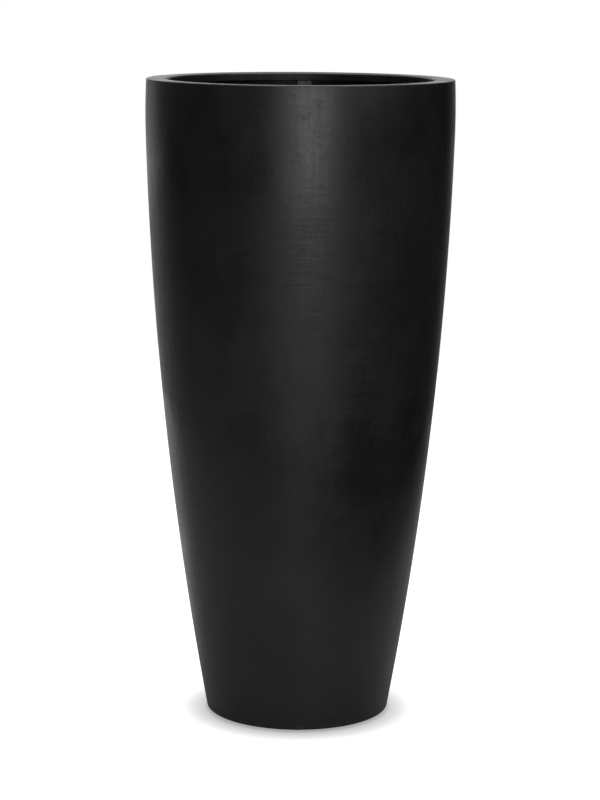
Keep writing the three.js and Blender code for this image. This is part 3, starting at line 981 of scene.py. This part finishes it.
def swept_bar(name, line, radius, sides=20):
    """A round bar along a line in the XZ plane, in mm, with closed ends."""
    direction = np.gradient(line, axis=0)
    direction /= np.linalg.norm(direction, axis=1)[:, None]
    points = []
    for (x, z), (dx, dz) in zip(line, direction):
        above = max(0.0, z - FLANGE_TOP)
        flare = 1 + LOOP_FLARE * max(0.0, 1 - above / FLARE_HEIGHT) ** 2
        for k in range(sides):
            a = 2 * math.pi * k / sides
            out, side = radius * flare * math.cos(a), radius * flare * math.sin(a)
            points.append(((x - dz * out) * MM, side * MM, (z + dx * out) * MM))
    last = (len(line) - 1) * sides
    faces = []
    for ring in range(0, last, sides):
        for k in range(sides):
            k_next = (k + 1) % sides
            faces.append([ring + k, ring + k_next, ring + sides + k_next, ring + sides + k])
    faces += [list(range(sides))[::-1], list(range(last, last + sides))]
    mesh = bpy.data.meshes.new(name)
    mesh.from_pydata(points, [], faces)
    return tidy_faces(mesh)


loop_mesh = swept_bar("plug_loop", loop_line, LOOP_BAR)
print("pull loop:", len(loop_mesh.polygons), "faces")

# %% The drain plug, joined
plug_mesh = boolean_result("plug", plug_mesh, [loop_mesh], "UNION")
plug_mesh.transform(Matrix.Translation((0, 0, PLUG_SEAT * MM)))
drain_plug = finish_mesh("drain_plug_rubber", plug_mesh, [rubber], sharp_degrees=45)
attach(drain_plug, "plug")
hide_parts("drain_plug")
print("plug:", len(plug_mesh.polygons), "faces")

# %% [markdown]
# ## The planting shelf
#
# A loose false bottom that wedges in the taper near half height, so only the top half needs soil. It
# is a moulded plate with a down-turned flange that follows the wall's taper, a hub and six arched
# ribs underneath, drain holes in every bay and two finger holes to lift it by. It could be drawn as a
# flat cage and given thickness, but it is built as its mould is cut: the plate with its flange and
# hub is turned, the ribs are joined to it and the holes are cut. A small Bevel then breaks the
# edges.

# %% The shelf's turned body
SHELF_INSET = WALL + BOND_GAP
SHELF_SKIN = 4
SHELF_RADIUS = 203.5
SHELF_TOP = 449.38
SHELF_UNDER = SHELF_TOP - 5
SHELF_FLANGE_END = SHELF_UNDER - 24
HUB_RADIUS = 26.0
HUB_END = SHELF_UNDER - 22


def flange_radius(height, inset=SHELF_INSET + SHELF_SKIN):
    """Radius of a face of the shelf's flange, which follows the wall."""
    return float(wall_radius(height, inset))


shelf_outline = rounded([
    (0.001, SHELF_UNDER),
    (HUB_RADIUS - SHELF_SKIN, SHELF_UNDER),
    (HUB_RADIUS - SHELF_SKIN, HUB_END, 0.6),
    (HUB_RADIUS, HUB_END, 0.6),
    (HUB_RADIUS, SHELF_UNDER, 1.2),
    (flange_radius(SHELF_UNDER), SHELF_UNDER, 4),
    (flange_radius(SHELF_FLANGE_END), SHELF_FLANGE_END, 0.8),
    (flange_radius(SHELF_FLANGE_END, SHELF_INSET), SHELF_FLANGE_END, 0.8),
    (SHELF_RADIUS, SHELF_TOP, 1.5),
    (0.001, SHELF_TOP),
])
shelf_outline[shelf_outline[:, 0] < 0.01, 0] = 0.0
shelf_mesh = tidy_faces(turned_mesh("shelf", shelf_outline, even_turns(180), closed=False))
print("shelf body:", len(shelf_mesh.polygons), "faces")

# %% The shelf's ribs
BAYS = 6
BAY_DEGREES = 360 / BAYS
RIB_HALF = 2.0
RIB_DRAFT = 0.3
RIB_START_LEVEL = HUB_END + 0.3
RIB_END_DEPTH = 10


def rib_mesh(turn):
    """An arched rib from the hub to the flange, slightly thinner at its lower edge."""
    start = HUB_RADIUS - 2
    end_level = SHELF_UNDER - RIB_END_DEPTH
    end = flange_radius(end_level) + 2
    top = SHELF_UNDER + 2.5
    lower = []
    for t in np.linspace(0, 1, 25):
        a, b, c = (1 - t) ** 2, 2 * t * (1 - t), t**2
        x = a * start + b * (start + end) / 2 + c * end
        z = a * RIB_START_LEVEL + b * end_level + c * end_level
        lower.append((x, z))
    points = []
    for side in (-1, 1):
        points += [(x, side * (RIB_HALF - RIB_DRAFT), z) for x, z in lower]
        points += [(x, side * RIB_HALF, top) for x, _ in lower]
    n = len(lower)
    faces = []
    for k in range(n - 1):
        faces.append([k, k + 1, n + k + 1, n + k])
        faces.append([3 * n + k, 3 * n + k + 1, 2 * n + k + 1, 2 * n + k])
        faces.append([2 * n + k, 2 * n + k + 1, k + 1, k])
        faces.append([n + k, n + k + 1, 3 * n + k + 1, 3 * n + k])
    faces.append([0, n, 3 * n, 2 * n])
    faces.append([n - 1, 3 * n - 1, 4 * n - 1, 2 * n - 1])
    mesh = bpy.data.meshes.new("rib")
    mesh.from_pydata([(x * MM, y * MM, z * MM) for x, y, z in points], [], faces)
    mesh.transform(Matrix.Rotation(turn, 4, "Z"))
    return tidy_faces(mesh)


ribs = [rib_mesh(math.radians(BAY_DEGREES * (bay - 0.5))) for bay in range(BAYS)]
shelf_mesh = boolean_result("shelf", shelf_mesh, ribs, "UNION")
print("shelf with", len(ribs), "ribs:", len(shelf_mesh.polygons), "faces")

# %% The shelf's holes
DRAIN_HOLE_RADIUS = 5.0
FINGER_RADIUS = 16.0
FINGER_OFFSET = 112.0
DRAIN_HOLES = [(70.0, bay * BAY_DEGREES) for bay in range(BAYS)]
DRAIN_HOLES += [(150.0, bay * BAY_DEGREES + side) for bay in range(BAYS) for side in (-15.0, 15.0)]


def hole_mesh(distance, degrees, radius, sides):
    """A cylinder to cut a hole through the plate."""
    outline = np.array([(0, -9), (radius, -9), (radius, 9), (0, 9)], float)
    mesh = turned_mesh("hole", outline, even_turns(sides), closed=False)
    place = Vector((distance * MM, 0, (SHELF_UNDER + 2.5) * MM))
    mesh.transform(Matrix.Rotation(math.radians(degrees), 4, "Z") @ Matrix.Translation(place))
    return tidy_faces(mesh)


holes = [hole_mesh(distance, degrees, DRAIN_HOLE_RADIUS, 32) for distance, degrees in DRAIN_HOLES]
holes += [hole_mesh(FINGER_OFFSET, degrees, FINGER_RADIUS, 72) for degrees in (0, 180)]
shelf_mesh = boolean_result("shelf", shelf_mesh, holes, "DIFFERENCE")
print("shelf with", len(holes), "holes:", len(shelf_mesh.polygons), "faces")

# %% The shelf
planting_shelf = finish_mesh("planting_shelf_moulding", shelf_mesh, [shelf_plastic], sharp_degrees=30)
edges = planting_shelf.modifiers.new("moulded_edges", "BEVEL")
edges.width = 0.5 * MM
edges.segments = 2
edges.limit_method = "ANGLE"
edges.angle_limit = math.radians(50)
edges.harden_normals = True
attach(planting_shelf, "shelf")
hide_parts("planting_shelf")
print("shelf edges broken by", edges.width / MM, "mm")

# %% [markdown]
# ## The studio
#
# The photograph was taken in a plain white studio, with a soft light near the camera, and the
# planter is cut out on white. That white could be made with more light, but then the planter would
# turn grey, so it is colour here: the white that the camera sees on the floor and in the world
# lights nothing. What lies behind the planter also shows in its paint at a grazing angle, where it
# makes the pale line down each edge. The floor and the world both need to know what lies behind, so
# that mask is a node group.

# %% Node group: what lies behind the planter
backdrop, given = start_group("Behind the planter", {"X": 0.0, "Y": 0.0}, "Share")
sideways = calculate(backdrop, "DIVIDE", given["X"], given["Y"])
off_centre = calculate(backdrop, "ABSOLUTE", calculate(backdrop, "ADD", sideways, 0.3))
beside = remap(backdrop, off_centre, 0.5, 0.95, 1.0, 0.0)
behind = calculate(backdrop, "GREATER_THAN", given["Y"], 0.0)
end_group(backdrop, calculate(backdrop, "MULTIPLY", beside, behind))

# %% [markdown]
# ## The floor
#
# The floor is a large oval sheet of pale paper, most of it behind the planter. An endless plane
# would be simpler, but the sheet ends where its reflection in the paint should end. Its own colour
# is a middling grey, and a glow that only certain rays can see does the rest. The camera sees
# white. Close round the foot the floor's own shadow shows, deepened by a painted shadow in that
# white, and darker still in a narrow painted shadow at the gap under the foot's edge, as the
# photograph's short soft shadow is. The paint sees a softer white far behind. Right under the foot
# the floor also glows for matt surfaces at short range, a painted light that lifts the underside as
# pale paper would. Seen from below, the sheet is clear, so that the underside can be looked at.

# %% The floor's sheet
FLOOR_MIDDLE = (-0.5, 1.4)
FLOOR_HALF_WIDTH = 1.5
FLOOR_HALF_DEPTH = 2.4

floor_mesh = bpy.data.meshes.new("studio_floor")
disc = bmesh.new()
bmesh.ops.create_circle(disc, cap_ends=True, cap_tris=True, segments=96, radius=1.0)
bmesh.ops.scale(disc, vec=(FLOOR_HALF_WIDTH, FLOOR_HALF_DEPTH, 1), verts=disc.verts)
bmesh.ops.translate(disc, vec=(*FLOOR_MIDDLE, 0), verts=disc.verts)
disc.to_mesh(floor_mesh)
disc.free()
floor = bpy.data.objects.new("studio_floor", floor_mesh)
floor.location.z = -0.0003
bpy.context.scene.collection.objects.link(floor)
print("floor of", 2 * FLOOR_HALF_WIDTH, "by", 2 * FLOOR_HALF_DEPTH, "m")

# %% What each ray sees of the floor
FLOOR_GLOSS = 0.5
FLOOR_LEAST_GLOSS = 0.03
UNDERSIDE_LIGHT = 1.8
UNDERSIDE_RANGE = 0.015
UNDERSIDE_RADIUS = 0.132

floor_paper = bpy.data.materials.new("floor_paper")
floor_paper.use_nodes = True
tree = floor_paper.node_tree
tree.nodes.clear()
rays = tree.nodes.new("ShaderNodeLightPath").outputs
place = own_place(tree)
x, y = axes_of(tree, place)[:2]
from_middle = tree.nodes.new("ShaderNodeVectorMath")
from_middle.operation = "LENGTH"
tree.links.new(place, from_middle.inputs[0])
distance = from_middle.outputs["Value"]

seen = calculate(tree, "ADD", rays["Is Camera Ray"], rays["Is Transmission Ray"])
# Painted shadow: the white that the camera sees is turned down close round the foot, and further in
# the narrow gap under its edge.
white_with_painted_shadow = remap(tree, distance, 0.14, 0.21, 0.46, 0.98)
painted_gap_shadow = remap(tree, distance, 0.143, 0.15, 0.75, 1.0)
glow = calculate(tree, "MULTIPLY", seen, calculate(tree, "MULTIPLY", white_with_painted_shadow, painted_gap_shadow))

share = place_group(tree, backdrop, X=x, Y=calculate(tree, "ADD", y, 0.2))
mirrored = calculate(tree, "MULTIPLY", share, remap(tree, y, 0.05, 0.65, 0.0, FLOOR_GLOSS))
mirrored = calculate(tree, "ADD", mirrored, FLOOR_LEAST_GLOSS)
glow = plus_share(tree, glow, rays["Is Glossy Ray"], mirrored)

# Painted light: right under the foot the floor glows for diffuse rays at short range, which lights
# the underside as a bounce from pale paper would.
near = calculate(tree, "LESS_THAN", rays["Ray Length"], UNDERSIDE_RANGE)
below_foot = calculate(tree, "LESS_THAN", distance, UNDERSIDE_RADIUS)
underside = calculate(tree, "MULTIPLY", near, below_foot)
underside = calculate(tree, "MULTIPLY", underside, UNDERSIDE_LIGHT)
glow = plus_share(tree, glow, rays["Is Diffuse Ray"], underside)
print("under the foot the floor gives", UNDERSIDE_LIGHT, "within", UNDERSIDE_RANGE, "m")

# %% The floor's paper
FLOOR_GREY = 0.45

matte = add_node(tree, "ShaderNodeBsdfDiffuse", Color=grey(FLOOR_GREY))
shine = add_node(tree, "ShaderNodeEmission", Color=grey(1.0), Strength=glow)
both = tree.nodes.new("ShaderNodeAddShader")
tree.links.new(matte.outputs[0], both.inputs[0])
tree.links.new(shine.outputs[0], both.inputs[1])
below = tree.nodes.new("ShaderNodeMixShader")
facing = tree.nodes.new("ShaderNodeNewGeometry")
clear = tree.nodes.new("ShaderNodeBsdfTransparent")
tree.links.new(facing.outputs["Backfacing"], below.inputs[0])
tree.links.new(both.outputs[0], below.inputs[1])
tree.links.new(clear.outputs[0], below.inputs[2])
end = tree.nodes.new("ShaderNodeOutputMaterial")
tree.links.new(below.outputs[0], end.inputs["Surface"])
floor_mesh.materials.append(floor_paper)
print("floor paper ready")

# %% [markdown]
# ## The world
#
# The world is all that stands beyond the floor. A picture of a real studio could be wrapped round the
# planter, but a few sums by direction are enough, and each can be set by itself. The camera sees
# white. Matt surfaces get a low, even light. Reflections see a pale backdrop behind the planter,
# paler towards the floor, under a dim ceiling.

# %% The world
AMBIENT = 0.3
CEILING = 0.3
BACKDROP = 1.3

world = bpy.data.worlds.new("studio")
world.use_nodes = True
bpy.context.scene.world = world
tree = world.node_tree
tree.nodes.clear()
rays = tree.nodes.new("ShaderNodeLightPath").outputs
x, y, z = axes_of(tree, tree.nodes.new("ShaderNodeTexCoord").outputs["Generated"])
ceiling = remap(tree, z, -0.05, 0.5, 0.0, CEILING)
white = remap(tree, z, -0.11, -0.045, BACKDROP, 0.3 * BACKDROP)
white = calculate(tree, "MULTIPLY", white, remap(tree, z, 0.3, 0.45, 1.0, 0.0))
white = calculate(tree, "MULTIPLY", white, place_group(tree, backdrop, X=x, Y=y))
mirrored = calculate(tree, "ADD", rays["Is Glossy Ray"], rays["Is Transmission Ray"])
strength = calculate(tree, "MULTIPLY", mirrored, calculate(tree, "ADD", ceiling, white))
strength = plus_share(tree, strength, rays["Is Diffuse Ray"], AMBIENT)
strength = calculate(tree, "ADD", strength, rays["Is Camera Ray"])
background = add_node(tree, "ShaderNodeBackground", Color=grey(1.0), Strength=strength)
end = tree.nodes.new("ShaderNodeOutputWorld")
tree.links.new(background.outputs[0], end.inputs["Surface"])
print("backdrop", BACKDROP, "and ceiling", CEILING, "in reflections")

# %% [markdown]
# ## The lamps
#
# A wide soft lamp stands in front, a little right of the camera and below the rim. In a round wall
# it makes one upright highlight in the middle, and its height sets how far down the wall the
# highlight stays bright. A panel at the right gives the softer shoulder there. Two lamps behind the
# planter draw the lines down its edges, and one overhead lights the rim and the inside. Small lamps
# would put the highlights in the same places, but with harder edges than the photograph shows.


# %% The lamps
def soft_lamp(name, place, aim, width, height, watts):
    """A rectangular soft lamp that points at a place. The camera doesn't see it."""
    data = bpy.data.lights.new(name, "AREA")
    data.shape = "RECTANGLE"
    data.size = width
    data.size_y = height
    data.energy = watts
    lamp = bpy.data.objects.new(name, data)
    bpy.context.scene.collection.objects.link(lamp)
    direction = Vector(aim) - Vector(place)
    lamp.location = place
    lamp.rotation_euler = direction.to_track_quat("-Z", "Y").to_euler()
    lamp.visible_camera = False
    print(name, watts, "W,", round(direction.length, 2), "m away")


soft_lamp("front_softbox", (0.47, -4.15, 0.8), (0, 0, 0.85), 1.9, 1.1, 48)
soft_lamp("right_panel", (1.9, -1.7, 1.9), (0, 0, 0.9), 1.8, 1.2, 9.0)
soft_lamp("backdrop_left", (-0.78, 3.0, 1.45), (-0.2, 0, 0.9), 1.0, 1.3, 5.4)
soft_lamp("backdrop_right", (0.78, 3.0, 1.45), (0.2, 0, 0.9), 1.0, 1.3, 4.4)
soft_lamp("top_softbox", (0.0, 0.45, 3.2), (0.0, 0.4501, 0), 2.2, 2.0, 55)
